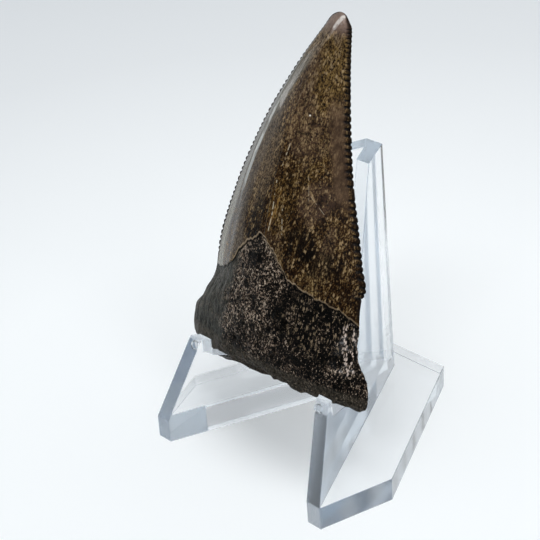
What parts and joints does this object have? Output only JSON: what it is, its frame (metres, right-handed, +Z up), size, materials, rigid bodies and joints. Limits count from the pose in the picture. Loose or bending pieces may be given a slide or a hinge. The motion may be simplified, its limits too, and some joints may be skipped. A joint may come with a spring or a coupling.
{
  "type": "fossil great white shark tooth",
  "caption": "Large fossil shark tooth with serrated edges and a dark root, leaning back on a clear V-shaped plastic display stand.",
  "frame": {"origin": "centre of the stand's footprint, on the surface that it stands on", "axes": "+Z up, -Y toward the front, where the tooth's bulging face and the stand's feet point, +X to the right seen from the front"},
  "size_m": [0.0428, 0.0394, 0.0646],
  "materials": {
    "tooth": "glossy mottled enamel over a rough dark root",
    "stand": "clear, polished"
  },
  "bodies": {
    "root": {"tooth": "tooth", "stand": "stand"}
  },
  "joints": []
}
